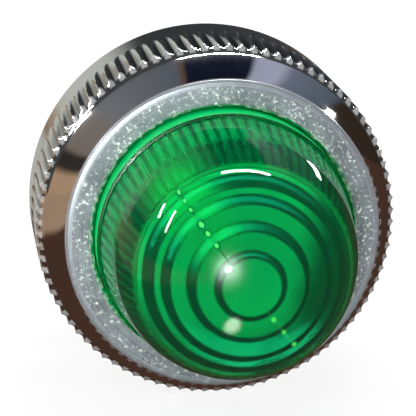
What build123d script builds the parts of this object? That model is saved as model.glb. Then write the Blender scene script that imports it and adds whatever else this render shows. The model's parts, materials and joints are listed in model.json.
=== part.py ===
from build123d import *
from build123d.topology import SkipClean
from math import acos, atan2, cos, degrees, isclose, pi, radians, sin, sqrt, tan
import os

# Panel pilot light: a knurled screw cap with a domed lens, over a bushing that holds a bayonet lamp.
# Pieces are turned about Z with the lens towards +Z, and laid down at the end so that the lens faces -Y.
# All lengths are millimetres, and the panel's front face is the plane z = 0.

# Panel fixing
panel_thread_length = 12.0
panel_thickness = 3.2
panel_gasket_thickness = 0.8
lock_washer_thickness = 0.9
lock_washer_width = 3.0
lock_washer_rim = 1.8
lock_washer_teeth = 10
lock_tooth_width = 2.0
lock_tooth_thickness = 0.5
lock_tooth_twist = 10.0
nut_wall = 2.0
nut_thickness = 4.0
nut_chamfer_angle = 30.0

# Bushing
flange_width = 5.2
flange_thickness = 1.6
bushing_wall = 1.4
cap_thread_wall = 0.5
cap_thread_relief_width = 1.6
cap_thread_relief_depth = 0.8
nose_step = 0.95
nose_length = 1.0
body_seat_depth = 8.5
body_seat_width = 1.3
bushing_chamfer = 0.5
reflector_wall = 0.5

# Bezel
bezel_depth = 15.8
bezel_lift = 0.5
face_width = 2.5
face_corner_radius = 0.5
opening_chamfer = 0.3
lip_thickness = 1.8
wall_depth = 4.3
wall_flare = 1.85
wall_cove = 0.2
rim_chamfer_depth = 0.6
rear_chamfer = 0.25
rim_proud = 0.7
flute_pitch = 1.2
flute_cutter_radius = 0.6
flute_depth = 0.34
flute_length = 6.9

# Lens
lens_radius = 11.9
lens_collar_height = 2.3
lens_collar_step = 0.2
lens_taper = 0.9
lens_dome_height = 6.9
lens_wall = 1.7
lens_flange_width = 1.5
lens_flange_thickness = 1.8
lens_flutes = 72
lens_flute_depth = 0.3
lens_flute_top = 10.2
lens_flute_wall = 1.55
lens_step_shares = (0.92, 0.81, 0.69, 0.49, 0.28)
lens_step_draft = 0.12
lens_gasket_thickness = 1.0
lens_gasket_width = 2.0
retainer_thickness = 0.8
retainer_width = 1.2
retainer_groove_depth = 0.5
retainer_gap_angle = 30.0

# Lamp socket
socket_body_flange_thickness = 2.0
socket_floor_depth = 17.5
socket_floor_thickness = 3.5
body_retainer_thickness = 0.8
body_retainer_width = 1.1
barrier_thickness = 0.9
barrier_height = 3.5
shell_wall = 0.5
shell_front = 2.0
shell_tab_width = 1.2
shell_tab_angle = 38.0
shell_tab_proud = 0.6
slot_angle = 40.0
slot_clearance = 0.2

# Lamp
lamp_base_radius = 4.65
lamp_base_wall = 0.3
lamp_base_length = 11.6
lamp_pin_radius = 0.8
lamp_pin_proud = 0.25
lamp_pin_depth = 3.0
lamp_pin_to_contact = 6.8
lamp_insulator_height = 0.7
lamp_insulator_tip_radius = 2.5
lamp_contact_radius = 1.6
lamp_contact_height = 0.5
lamp_push = 1.2
bulb_overhang = 0.5
bulb_neck_sink = 3.0
bulb_shoulder = 2.2
bulb_wall = 0.6
bulb_above_base = 15.7
stem_height = 2.0
lead_radius = 0.2
lead_spacing = 3.4
lead_height = 9.0
filament_radius = 0.12
filament_rise = 1.2

# Sprung centre contact
plunger_head_radius = 1.7
plunger_head_thickness = 0.8
plunger_shank_radius = 1.0
plunger_shank_overlap = 1.5
disc_thickness = 1.6
spring_radius = 2.3
spring_wire_radius = 0.3
spring_turns = 4.5
eyelet_wall = 0.65
eyelet_flange_radius = 2.8
eyelet_flange_thickness = 0.5
eyelet_clinch_radius = 2.15

# Connections
terminal_thickness = 0.8
terminal_recess = 0.3
terminal_width = 5.0
terminal_screw_edge = 1.9
terminal_edge = 0.8
terminal_screw_radius = 1.25
terminal_screw_length = 4.5
terminal_head_radius = 2.2
terminal_head_thickness = 1.8
terminal_slot_width = 0.7
terminal_slot_depth = 0.9
clamp_side = 4.4
clamp_thickness = 0.7

# Clearances
thread_clearance = 0.05
sliding_clearance = 0.1
seat_clearance = 0.05
fit_clearance = 0.15
loose_clearance = 0.25

# Heights that follow from the sizes above, measured from the panel's front face
flange_top = panel_gasket_thickness + flange_thickness
bezel_rear = flange_top + bezel_lift
face_height = bezel_rear + bezel_depth
lip_under = face_height - lip_thickness
lens_foot = lip_under - lens_flange_thickness
bushing_front = lens_foot - lens_gasket_thickness
cap_thread_front = bushing_front - nose_length
lens_centre = face_height + lens_dome_height
washer_front = -panel_thickness
nut_front = washer_front - lock_washer_thickness
body_seat = -body_seat_depth
body_front = body_seat + socket_body_flange_thickness
socket_floor = -socket_floor_depth
body_rear = socket_floor - socket_floor_thickness
terminal_front = body_rear + terminal_recess
terminal_rear = terminal_front - terminal_thickness
clamp_rear = terminal_rear - clamp_thickness
lamp_pin_height = -lamp_pin_depth
lamp_tip = lamp_pin_height - lamp_pin_to_contact
lamp_insulator_foot = lamp_tip + lamp_contact_height
lamp_base_foot = lamp_insulator_foot + lamp_insulator_height
lamp_base_top = lamp_base_foot + lamp_base_length
bulb_foot = lamp_base_top - bulb_neck_sink
bulb_top = lamp_base_top + bulb_above_base
disc_front = lamp_tip - plunger_head_thickness
disc_rear = disc_front - disc_thickness
eyelet_top = socket_floor + eyelet_flange_thickness

# Radii of the cap that follow from the lens outwards
opening_radius = lens_radius + loose_clearance
face_radius = opening_radius + face_width
wall_foot_radius = face_radius + wall_flare
rim_radius = wall_foot_radius + rim_proud
flute_count = round(2 * pi * rim_radius / flute_pitch)
lens_flange_radius = lens_radius + lens_flange_width
lens_dome_radius = lens_radius - lens_taper
lens_pocket_radius = lens_flange_radius + sliding_clearance
retainer_groove_radius = lens_pocket_radius + retainer_groove_depth
cap_thread_radius = retainer_groove_radius + cap_thread_wall
bezel_bore_radius = cap_thread_radius + thread_clearance
nose_radius = lens_pocket_radius - nose_step

# Radii of the lamp and of the shell that holds it
bulb_radius = lamp_base_radius + bulb_overhang
bulb_neck_radius = lamp_base_radius - lamp_base_wall - fit_clearance
shell_inner_radius = lamp_base_radius + fit_clearance
shell_radius = shell_inner_radius + shell_wall
lamp_pin_reach = shell_radius + lamp_pin_proud

# Radii of the socket and bushing that follow from the connections outwards
eyelet_bore_radius = plunger_shank_radius + sliding_clearance
eyelet_radius = eyelet_bore_radius + eyelet_wall
barrier_offset = eyelet_clinch_radius + fit_clearance
barrier_end = barrier_offset + barrier_thickness
terminal_screw_offset = barrier_end + sliding_clearance + terminal_head_radius
terminal_reach = terminal_screw_offset + terminal_screw_edge
socket_body_radius = terminal_reach + terminal_edge
body_seat_bore_radius = socket_body_radius + sliding_clearance
bushing_bore_radius = body_seat_bore_radius + body_seat_width
body_groove_radius = bushing_bore_radius + retainer_groove_depth
panel_thread_radius = bushing_bore_radius + bushing_wall
flange_radius = panel_thread_radius + flange_width
nut_across_flats = 2 * (panel_thread_radius + nut_wall)


def turned(*outline):
    # Solid of revolution about Z from the corners (radius, height) of its half section.
    section = Polyline(*[(radius, 0, height) for radius, height in outline], close=True)
    return revolve(make_face(section), Axis.Z)


def ring(outer, inner, low, high):
    return turned((inner, low), (outer, low), (outer, high), (inner, high))


def disc(radius, low, high):
    return Pos(0, 0, low) * Cylinder(radius, high - low, align=(Align.CENTER, Align.CENTER, Align.MIN))


def sector(outer, inner, low, high, start, sweep):
    # Part of a ring, from the angle start over the angle sweep.
    section = Polyline((inner, 0, low), (outer, 0, low), (outer, 0, high), (inner, 0, high), close=True)
    return Rot(0, 0, start) * revolve(make_face(section), Axis.Z, sweep)


def snap_ring(outer, width, low, thickness):
    inner = outer - width
    gap = sector(outer + width, inner - width, low, low + thickness, -retainer_gap_angle / 2, retainer_gap_angle)
    return ring(outer, inner, low, low + thickness) - gap


def bar(x_low, x_high, y_low, y_high, low, high):
    corner = (Align.MIN, Align.MIN, Align.MIN)
    return Pos(x_low, y_low, low) * Box(x_high - x_low, y_high - y_low, high - low, align=corner)


def make_bezel():
    wall_foot = face_height - wall_depth
    groove_top = lens_foot
    groove_foot = lens_foot - retainer_thickness - seat_clearance
    pocket_foot = cap_thread_front + loose_clearance
    wall_top = (face_radius, 0, face_height)
    straight_sides = Polyline(
        (wall_foot_radius, 0, wall_foot),
        (wall_foot_radius, 0, bezel_rear),
        (bezel_bore_radius, 0, bezel_rear),
        (bezel_bore_radius, 0, pocket_foot),
        (lens_pocket_radius, 0, pocket_foot),
        (lens_pocket_radius, 0, groove_foot),
        (retainer_groove_radius, 0, groove_foot),
        (retainer_groove_radius, 0, groove_top),
        (lens_pocket_radius, 0, groove_top),
        (lens_pocket_radius, 0, lip_under),
        (opening_radius, 0, lip_under),
        (opening_radius, 0, face_height - opening_chamfer),
        (opening_radius + opening_chamfer, 0, face_height),
        wall_top,
    )
    # The wall between face and knurl is hollowed by a shallow arc.
    lean = atan2(wall_foot_radius - face_radius, wall_depth)
    middle_radius = (face_radius + wall_foot_radius) / 2 - wall_cove * cos(lean)
    middle_height = (face_height + wall_foot) / 2 - wall_cove * sin(lean)
    cove = ThreePointArc(wall_top, (middle_radius, 0, middle_height), (wall_foot_radius, 0, wall_foot))
    core = revolve(make_face(straight_sides.edges() + cove.edges()), Axis.Z)
    face_edge = core.edges().filter_by(GeomType.CIRCLE).filter_by(is_face_edge)
    core = fillet(face_edge, face_corner_radius)
    pitch = 360 / flute_count
    teeth = [Rot(0, 0, pitch * index) * rim_tooth(pitch, wall_foot) for index in range(flute_count)]
    # Each tooth keeps its own faces, so that no face is notched all the way round.
    with SkipClean():
        return core + teeth


def is_face_edge(edge):
    return isclose(edge.radius, face_radius, abs_tol=0.01) and isclose(edge.center().Z, face_height, abs_tol=0.01)


def rim_tooth(pitch, wall_foot):
    # One pitch of the rim, with half a land each side of a round-bottomed flute that climbs out towards the rear.
    rim_front = wall_foot - rim_chamfer_depth
    section = Polyline(
        (wall_foot_radius, 0, wall_foot),
        (rim_radius, 0, rim_front),
        (rim_radius, 0, bezel_rear + rear_chamfer),
        (rim_radius - rear_chamfer, 0, bezel_rear),
        (wall_foot_radius, 0, bezel_rear),
        close=True,
    )
    blank = Rot(0, 0, -pitch / 2) * revolve(make_face(section), Axis.Z, pitch)
    climb = atan2(flute_depth, flute_length)
    along = (-sin(climb), 0, cos(climb))
    radius = rim_radius - flute_depth / 2 + flute_cutter_radius * cos(climb)
    height = rim_front - flute_length / 2 + flute_cutter_radius * sin(climb)
    path = Plane(origin=(radius, 0, height), x_dir=(0, 1, 0), z_dir=along)
    return blank - path * Cylinder(flute_cutter_radius, 2 * flute_length)


def scalloped_face(cusp_radius, depth, count, height):
    # Closed outline of outward flutes that meet in sharp cusps.
    arcs = []
    for index in range(count):
        turns = [2 * pi * (index + share) / count for share in (0, 0.5, 1)]
        reach = [cusp_radius, cusp_radius + depth, cusp_radius]
        points = [(radius * cos(turn), radius * sin(turn), height) for radius, turn in zip(reach, turns)]
        arcs.append(ThreePointArc(*points))
    return make_face([arc.edge() for arc in arcs])


def make_lens():
    # The side of the dome leans in from the collar until it meets the sphere without a corner.
    side_radius = lens_radius - lens_collar_step
    side_foot = face_height + lens_collar_height
    sink = lens_centre - side_foot
    lean = acos(lens_dome_radius / sqrt(side_radius**2 + sink**2)) - atan2(sink, side_radius)
    apex = lens_centre + lens_dome_radius
    sides = Polyline(
        (0, 0, apex),
        (0, 0, lens_foot),
        (lens_flange_radius, 0, lens_foot),
        (lens_flange_radius, 0, lip_under),
        (lens_radius, 0, lip_under),
        (lens_radius, 0, side_foot),
        (side_radius, 0, side_foot),
        on_lens_sphere(lean),
    )
    dome = ThreePointArc(on_lens_sphere(lean), on_lens_sphere((lean + pi / 2) / 2), (0, 0, apex))
    blank = revolve(make_face(sides.edges() + dome.edges()), Axis.Z)
    # The flutes inside draw in from the foot to a ledge on the inner sphere.
    inner_radius = lens_dome_radius - lens_wall
    flute_top = face_height + lens_flute_top
    foot_cusp = lens_radius - lens_flute_wall - lens_flute_depth
    top_cusp = sqrt(inner_radius**2 - (flute_top - lens_centre) ** 2)
    outlines = [
        scalloped_face(foot_cusp, lens_flute_depth, lens_flutes, lens_foot),
        scalloped_face(top_cusp, lens_flute_depth, lens_flutes, flute_top),
    ]
    fluted_bore = loft(outlines, ruled=True)
    # The dome is hollowed by drafted steps, whose outer corners lie on the inner sphere.
    step_radii = [share * inner_radius for share in lens_step_shares]
    corners = [(0, lens_foot), (step_radii[0] + lens_step_draft, lens_foot)]
    corners.append((step_radii[0] + lens_step_draft, flute_top))
    for radius, following in zip(step_radii, step_radii[1:] + [0]):
        tread = lens_centre + sqrt(inner_radius**2 - radius**2)
        corners.append((radius, tread))
        corners.append((following + lens_step_draft if following else 0, tread))
    return blank - fluted_bore - turned(*corners)


def on_lens_sphere(rise):
    return (lens_dome_radius * cos(rise), 0, lens_centre + lens_dome_radius * sin(rise))


def make_lens_gasket():
    outer = nose_radius
    return ring(outer, outer - lens_gasket_width, bushing_front, lens_foot)


def make_lens_retainer():
    outer = retainer_groove_radius - seat_clearance
    return snap_ring(outer, retainer_width, lens_foot - retainer_thickness, retainer_thickness)


def make_barrel():
    relief_top = flange_top + cap_thread_relief_width
    relief_radius = cap_thread_radius - cap_thread_relief_depth
    rear = -panel_thread_length
    groove_foot = body_front
    groove_top = body_front + body_retainer_thickness + seat_clearance
    return turned(
        (bushing_bore_radius, bushing_front),
        (nose_radius, bushing_front),
        (nose_radius, cap_thread_front),
        (cap_thread_radius - bushing_chamfer, cap_thread_front),
        (cap_thread_radius, cap_thread_front - bushing_chamfer),
        (cap_thread_radius, relief_top),
        (relief_radius, relief_top - cap_thread_relief_depth),
        (relief_radius, flange_top),
        (flange_radius, flange_top),
        (flange_radius, panel_gasket_thickness),
        (panel_thread_radius, panel_gasket_thickness),
        (panel_thread_radius, rear + bushing_chamfer),
        (panel_thread_radius - bushing_chamfer, rear),
        (body_seat_bore_radius, rear),
        (body_seat_bore_radius, body_seat),
        (bushing_bore_radius, body_seat),
        (bushing_bore_radius, groove_foot),
        (body_groove_radius, groove_foot),
        (body_groove_radius, groove_top),
        (bushing_bore_radius, groove_top),
    )


def make_panel_gasket():
    return ring(flange_radius, panel_thread_radius + sliding_clearance, 0, panel_gasket_thickness)


def make_lock_washer():
    outer = panel_thread_radius + lock_washer_width
    tip = panel_thread_radius + thread_clearance
    rim_inner = outer - lock_washer_rim
    tooth_length = rim_inner - tip
    middle = washer_front - lock_washer_thickness / 2
    blank = Box(tooth_length + lock_washer_rim / 2, lock_tooth_width, lock_tooth_thickness, align=(Align.MIN, Align.CENTER, Align.CENTER))
    tooth = Pos(tip + sliding_clearance, 0, middle) * Rot(lock_tooth_twist, 0, 0) * blank
    teeth = [Rot(0, 0, 360 * index / lock_washer_teeth) * tooth for index in range(lock_washer_teeth)]
    return ring(outer, rim_inner, nut_front, washer_front) + teeth


def make_panel_nut():
    corner_radius = nut_across_flats / 2 / cos(pi / 6)
    bore = panel_thread_radius + thread_clearance
    rear = nut_front - nut_thickness
    flat_radius = nut_across_flats / 2
    drop = (corner_radius - flat_radius) * tan(radians(nut_chamfer_angle))
    prism = Pos(0, 0, rear) * extrude(RegularPolygon(corner_radius, 6), amount=nut_thickness)
    chamfered = turned(
        (bore, rear),
        (flat_radius, rear),
        (corner_radius, rear + drop),
        (corner_radius, nut_front - drop),
        (flat_radius, nut_front),
        (bore, nut_front),
    )
    return prism & chamfered


def make_socket_body():
    flange = bushing_bore_radius - sliding_clearance
    cavity = shell_radius + seat_clearance
    hole = eyelet_radius + seat_clearance
    body = turned(
        (hole, body_rear),
        (socket_body_radius, body_rear),
        (socket_body_radius, body_seat),
        (flange, body_seat),
        (flange, body_front),
        (cavity, body_front),
        (cavity, socket_floor),
        (hole, socket_floor),
    )
    # A barrier stands between the two connections.
    half_chord = sqrt(socket_body_radius**2 - barrier_end**2)
    barrier = bar(barrier_offset, barrier_end, -half_chord, half_chord, body_rear - barrier_height, body_rear)
    recesses = [live_plate(seat_clearance), shell_plate(seat_clearance)]
    screw_hole = disc(terminal_screw_radius + seat_clearance, body_rear, screw_tip() + loose_clearance)
    screw_holes = [Pos(side * terminal_screw_offset, 0, 0) * screw_hole for side in (-1, 1)]
    return body + barrier - recesses - screw_holes - shell_tab(seat_clearance)


def screw_tip():
    return clamp_rear + terminal_screw_length


def live_plate(grow):
    x_low = -terminal_reach - grow
    x_high = eyelet_clinch_radius + grow
    half = terminal_width / 2 + grow
    return bar(x_low, x_high, -half, half, terminal_rear, terminal_front)


def shell_plate(grow):
    x_low = barrier_end + seat_clearance - grow
    half = terminal_width / 2 + grow
    tab_top = shell_radius * sin(radians(shell_tab_angle)) + shell_tab_width
    return bar(x_low, terminal_reach + grow, -half, tab_top + grow, terminal_rear, terminal_front)


def shell_tab(grow):
    # Strip of the shell's wall that runs back through the floor and stands proud of its terminal.
    low = terminal_rear - shell_tab_proud
    sweep_angle = degrees((shell_tab_width + 2 * grow) / shell_radius)
    start = shell_tab_angle - sweep_angle / 2
    return sector(shell_radius + grow, shell_inner_radius - grow, low, socket_floor, start, sweep_angle)


def make_body_retainer():
    outer = body_groove_radius - seat_clearance
    return snap_ring(outer, body_retainer_width, body_front, body_retainer_thickness)


def make_socket_shell():
    tube = ring(shell_radius, shell_inner_radius, socket_floor, shell_front)
    half = lamp_pin_radius + slot_clearance
    leg_middle = lamp_pin_height - lamp_push
    leg_foot = leg_middle - half
    deep = shell_inner_radius - shell_wall
    wide = shell_radius + shell_wall
    pocket_top = lamp_pin_height + lamp_pin_radius
    entry = bar(deep, wide, -half, half, leg_foot, shell_front + shell_wall)
    leg = sector(wide, deep, leg_foot, leg_middle + half, -slot_angle, slot_angle)
    pocket = bar(deep, wide, -half, half, leg_foot, pocket_top)
    slot = Rot(0, 0, slot_angle) * entry + Rot(0, 0, slot_angle) * leg + pocket
    return tube - slot - Rot(0, 0, 180) * slot + shell_tab(0)


def make_reflector():
    # Cup that lines the bushing and stands on the ring that holds the socket, with a hole for the shell and the lamp's pins.
    outer = bushing_bore_radius - sliding_clearance
    inner = outer - reflector_wall
    hole = lamp_pin_reach + loose_clearance
    foot = body_front + body_retainer_thickness + seat_clearance
    floor_top = foot + reflector_wall
    return turned(
        (hole, foot),
        (outer, foot),
        (outer, bushing_front),
        (inner, bushing_front),
        (inner, floor_top),
        (hole, floor_top),
    )


def make_centre_eyelet():
    rear = terminal_rear
    clinch = rear - eyelet_flange_thickness
    return turned(
        (eyelet_bore_radius, clinch),
        (eyelet_clinch_radius, clinch),
        (eyelet_clinch_radius, rear),
        (eyelet_radius, rear),
        (eyelet_radius, socket_floor),
        (eyelet_flange_radius, socket_floor),
        (eyelet_flange_radius, eyelet_top),
        (eyelet_bore_radius, eyelet_top),
    )


def make_contact_plunger():
    tip = socket_floor - plunger_shank_overlap
    return disc(plunger_head_radius, disc_front, lamp_tip) + disc(plunger_shank_radius, tip, disc_front)


def make_contact_disc():
    return ring(shell_inner_radius - sliding_clearance, plunger_shank_radius, disc_rear, disc_front)


def make_contact_spring():
    # The wire's ends stay a little short of the faces that they bear on.
    low = eyelet_top + spring_wire_radius + seat_clearance
    high = disc_rear - spring_wire_radius - seat_clearance
    path = Helix(pitch=(high - low) / spring_turns, height=high - low, radius=spring_radius)
    start = Plane(origin=path @ 0, z_dir=path % 0)
    return Pos(0, 0, low) * sweep(start * Circle(spring_wire_radius), path=path)


def make_live_terminal():
    plate = live_plate(0)
    plate -= disc(eyelet_radius + seat_clearance, terminal_rear, terminal_front)
    return plate - Pos(-terminal_screw_offset, 0, 0) * disc(terminal_screw_radius + seat_clearance, terminal_rear, terminal_front)


def make_shell_terminal():
    plate = shell_plate(0) - shell_tab(seat_clearance)
    return plate - Pos(terminal_screw_offset, 0, 0) * disc(terminal_screw_radius + seat_clearance, terminal_rear, terminal_front)


def make_terminal_screws():
    head_rear = clamp_rear - terminal_head_thickness
    screw = disc(terminal_head_radius, head_rear, clamp_rear) + disc(terminal_screw_radius, clamp_rear, screw_tip())
    half = terminal_slot_width / 2
    reach = terminal_head_radius + terminal_slot_width
    screw -= bar(-half, half, -reach, reach, head_rear, head_rear + terminal_slot_depth)
    return [Pos(side * terminal_screw_offset, 0, 0) * screw for side in (-1, 1)]


def make_wire_clamps():
    half = clamp_side / 2
    clamp = bar(-half, half, -half, half, clamp_rear, terminal_rear)
    clamp -= disc(terminal_screw_radius + seat_clearance, clamp_rear, terminal_rear)
    return [Pos(side * terminal_screw_offset, 0, 0) * clamp for side in (-1, 1)]


def make_lamp_base():
    tube = ring(lamp_base_radius, lamp_base_radius - lamp_base_wall, lamp_base_foot, lamp_base_top)
    inner = lamp_base_radius - lamp_base_wall
    length = lamp_pin_reach - inner
    pin = Pos(inner + length / 2, 0, lamp_pin_height) * Rot(0, 90, 0) * Cylinder(lamp_pin_radius, length)
    return tube + pin + Rot(0, 0, 180) * pin


def make_lamp_insulator():
    inner = lamp_base_radius - lamp_base_wall
    return turned(
        (0, lamp_insulator_foot),
        (lamp_insulator_tip_radius, lamp_insulator_foot),
        (inner, lamp_base_foot),
        (inner, lamp_base_foot + lamp_insulator_height),
        (0, lamp_base_foot + lamp_insulator_height),
    )


def make_lamp_contact():
    return disc(lamp_contact_radius, lamp_tip, lamp_insulator_foot)


def make_lamp_bulb():
    centre = bulb_top - bulb_radius
    outer = bulb_outline(0, centre)
    inner = bulb_outline(bulb_wall, centre)
    return outer - inner


def bulb_outline(inset, centre):
    # Neck, sloped shoulder and round-ended tube of the bulb, drawn in by the inset.
    radius = bulb_radius - inset
    neck = bulb_neck_radius - inset
    shoulder_foot = lamp_base_top + loose_clearance
    walls = Polyline(
        (0, 0, centre + radius),
        (0, 0, bulb_foot),
        (neck, 0, bulb_foot),
        (neck, 0, shoulder_foot),
        (radius, 0, shoulder_foot + bulb_shoulder),
        (radius, 0, centre),
    )
    half = radius * sqrt(0.5)
    dome = ThreePointArc((radius, 0, centre), (half, 0, centre + half), (0, 0, centre + radius))
    return revolve(make_face(walls.edges() + dome.edges()), Axis.Z)


def make_lamp_stem():
    radius = bulb_neck_radius - bulb_wall
    stem = disc(radius, bulb_foot, bulb_foot + stem_height)
    for side in (-1, 1):
        stem -= Pos(side * lead_spacing / 2, 0, 0) * disc(lead_radius, bulb_foot, bulb_foot + stem_height)
    return stem


def make_lamp_leads():
    top = lamp_base_top + lead_height
    lead = disc(lead_radius, bulb_foot, top)
    return [Pos(side * lead_spacing / 2, 0, 0) * lead for side in (-1, 1)]


def make_lamp_filament():
    top = lamp_base_top + lead_height
    half = lead_spacing / 2
    rise = top + filament_radius + filament_rise
    path = ThreePointArc((-half, 0, top + filament_radius), (0, 0, rise), (half, 0, top + filament_radius))
    start = Plane(origin=path @ 0, z_dir=path % 0)
    return sweep(start * Circle(filament_radius), path=path)


pieces = {
    "bezel": make_bezel(),
    "lens": make_lens(),
    "lens_gasket": make_lens_gasket(),
    "lens_retainer": make_lens_retainer(),
    "barrel": make_barrel(),
    "panel_gasket": make_panel_gasket(),
    "lock_washer": make_lock_washer(),
    "panel_nut": make_panel_nut(),
    "socket_body": make_socket_body(),
    "body_retainer": make_body_retainer(),
    "reflector": make_reflector(),
    "socket_shell": make_socket_shell(),
    "centre_eyelet": make_centre_eyelet(),
    "contact_plunger": make_contact_plunger(),
    "contact_disc": make_contact_disc(),
    "contact_spring": make_contact_spring(),
    "live_terminal": make_live_terminal(),
    "shell_terminal": make_shell_terminal(),
    "terminal_screws": make_terminal_screws(),
    "wire_clamps": make_wire_clamps(),
    "lamp_base": make_lamp_base(),
    "lamp_insulator": make_lamp_insulator(),
    "lamp_contact": make_lamp_contact(),
    "lamp_bulb": make_lamp_bulb(),
    "lamp_stem": make_lamp_stem(),
    "lamp_leads": make_lamp_leads(),
    "lamp_filament": make_lamp_filament(),
}

os.makedirs("parts", exist_ok=True)
lay_down = Rot(90, 0, 0)
for name, piece in pieces.items():
    solids = piece if isinstance(piece, list) else piece.solids()
    placed = Compound(children=[lay_down * solid for solid in solids])
    export_step(placed, f"parts/{name}.step")
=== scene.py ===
import json
from math import acos, atan2, cos, hypot, pi, radians, sin, sqrt

import bmesh
import bpy
from mathutils import Matrix, Vector

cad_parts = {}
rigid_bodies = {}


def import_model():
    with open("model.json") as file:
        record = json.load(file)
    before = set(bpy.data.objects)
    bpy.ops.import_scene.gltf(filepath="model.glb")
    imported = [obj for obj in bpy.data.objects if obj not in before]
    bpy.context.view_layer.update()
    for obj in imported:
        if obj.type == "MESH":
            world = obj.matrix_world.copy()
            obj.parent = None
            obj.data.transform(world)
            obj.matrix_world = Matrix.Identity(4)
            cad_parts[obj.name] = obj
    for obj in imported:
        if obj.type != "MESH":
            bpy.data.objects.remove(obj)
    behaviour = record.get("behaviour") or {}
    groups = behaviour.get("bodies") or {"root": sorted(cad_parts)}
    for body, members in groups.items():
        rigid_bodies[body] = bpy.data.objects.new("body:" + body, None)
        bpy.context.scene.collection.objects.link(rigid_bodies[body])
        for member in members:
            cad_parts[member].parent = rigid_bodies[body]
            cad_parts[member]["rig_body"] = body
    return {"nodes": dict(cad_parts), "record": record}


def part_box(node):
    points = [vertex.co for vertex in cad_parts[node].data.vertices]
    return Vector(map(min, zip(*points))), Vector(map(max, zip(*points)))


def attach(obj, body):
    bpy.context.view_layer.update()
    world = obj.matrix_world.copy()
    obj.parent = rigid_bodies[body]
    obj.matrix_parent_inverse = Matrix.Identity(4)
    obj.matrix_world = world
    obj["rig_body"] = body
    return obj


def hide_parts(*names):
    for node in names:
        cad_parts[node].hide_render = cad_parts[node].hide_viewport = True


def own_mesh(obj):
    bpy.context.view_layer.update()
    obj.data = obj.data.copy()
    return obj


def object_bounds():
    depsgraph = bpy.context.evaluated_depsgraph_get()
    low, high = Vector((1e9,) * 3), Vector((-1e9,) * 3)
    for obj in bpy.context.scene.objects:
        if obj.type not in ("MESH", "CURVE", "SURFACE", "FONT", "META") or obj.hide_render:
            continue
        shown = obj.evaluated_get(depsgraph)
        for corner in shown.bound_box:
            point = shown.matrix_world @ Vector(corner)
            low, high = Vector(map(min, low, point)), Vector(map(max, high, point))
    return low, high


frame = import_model()
cadLow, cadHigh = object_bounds()
scene = bpy.context.scene
scene.view_settings.view_transform = "Standard"
mm = 0.001
layDown = Matrix.Rotation(radians(90), 4, "X")  # pieces are turned about Z, lens up, then laid to face -Y


def ends(node):  # rear and front height of a node along the axis, in mm from the panel's face
    low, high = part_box(node)
    return -high.y / mm, -low.y / mm


def reach(node):  # outer radius of a round node, in mm
    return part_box(node)[1].x / mm


class Wire:
    # an output socket; arithmetic on it adds Math nodes to its tree
    def __init__(self, tree, socket=None):
        self.tree = tree
        self.socket = socket

    def node(self, kind, settings=None, sockets=None, out=0):
        made = self.tree.nodes.new(kind)
        for name, value in (settings or {}).items():
            if name == "stops":
                self.setStops(made.color_ramp, value)
            else:
                setattr(made, name, value)
        for name, value in (sockets or {}).items():
            self.feed(made.inputs[name], value)
        return Wire(self.tree, made.outputs[out] if made.outputs else None)

    def setStops(self, ramp, stops):  # places and colours of a ramp
        while len(ramp.elements) < len(stops):
            ramp.elements.new(1.0)
        for element, (where, colour) in zip(ramp.elements, stops):
            element.position = where
            element.color = colour

    def feed(self, target, value):
        if isinstance(value, Wire):
            self.tree.links.new(value.socket, target)
        else:
            target.default_value = value

    def other(self, name):  # another output of the same node
        return Wire(self.tree, self.socket.node.outputs[name])

    def math(self, operation, first, second=0.0):
        return self.node("ShaderNodeMath", {"operation": operation}, {0: first, 1: second})

    def __add__(self, value):
        return self.math("ADD", self, value)

    __radd__ = __add__

    def __sub__(self, value):
        return self.math("SUBTRACT", self, value)

    def __rsub__(self, value):
        return self.math("SUBTRACT", value, self)

    def __mul__(self, value):
        return self.math("MULTIPLY", self, value)

    __rmul__ = __mul__

    def __truediv__(self, value):
        return self.math("DIVIDE", self, value)

    def power(self, value):
        return self.math("POWER", self, value)

    def larger(self, value):
        return self.math("MAXIMUM", self, value)

    def wave(self):  # 0 to 1 and back over each turn
        return 0.5 - 0.5 * self.math("COSINE", self)

    def away(self, value):  # distance from a value
        return self.math("ABSOLUTE", self - value)

    def rise(self, low, high):  # 0 below low, 1 above high, smooth between
        settings = {"interpolation_type": "SMOOTHSTEP", "clamp": True}
        return self.node("ShaderNodeMapRange", settings, {"Value": self, "From Min": low, "From Max": high})

    def riseMm(self, low, high):  # the same between two lengths in mm
        return self.rise(low * mm, high * mm)

    def blend(self, first, second):  # colours, by this factor
        return self.node("ShaderNodeMix", {"data_type": "RGBA"}, {0: self, 6: first, 7: second}, 2)

    def vectorMath(self, operation, value=(0, 0, 0), out=0):
        return self.node("ShaderNodeVectorMath", {"operation": operation}, {0: self, 1: value}, out)

    def axes(self):  # the three parts of a vector
        x = self.node("ShaderNodeSeparateXYZ", None, {0: self})
        return x, x.other("Y"), x.other("Z")

    def noise(self, scale, detail=3.0, roughness=0.5):
        inputs = {"Vector": self, "Scale": scale, "Detail": detail, "Roughness": roughness}
        return self.node("ShaderNodeTexNoise", None, inputs)

    def bump(self, strength, distance):  # normal from this height
        return self.node("ShaderNodeBump", None, {"Strength": strength, "Distance": distance, "Height": self})


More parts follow.
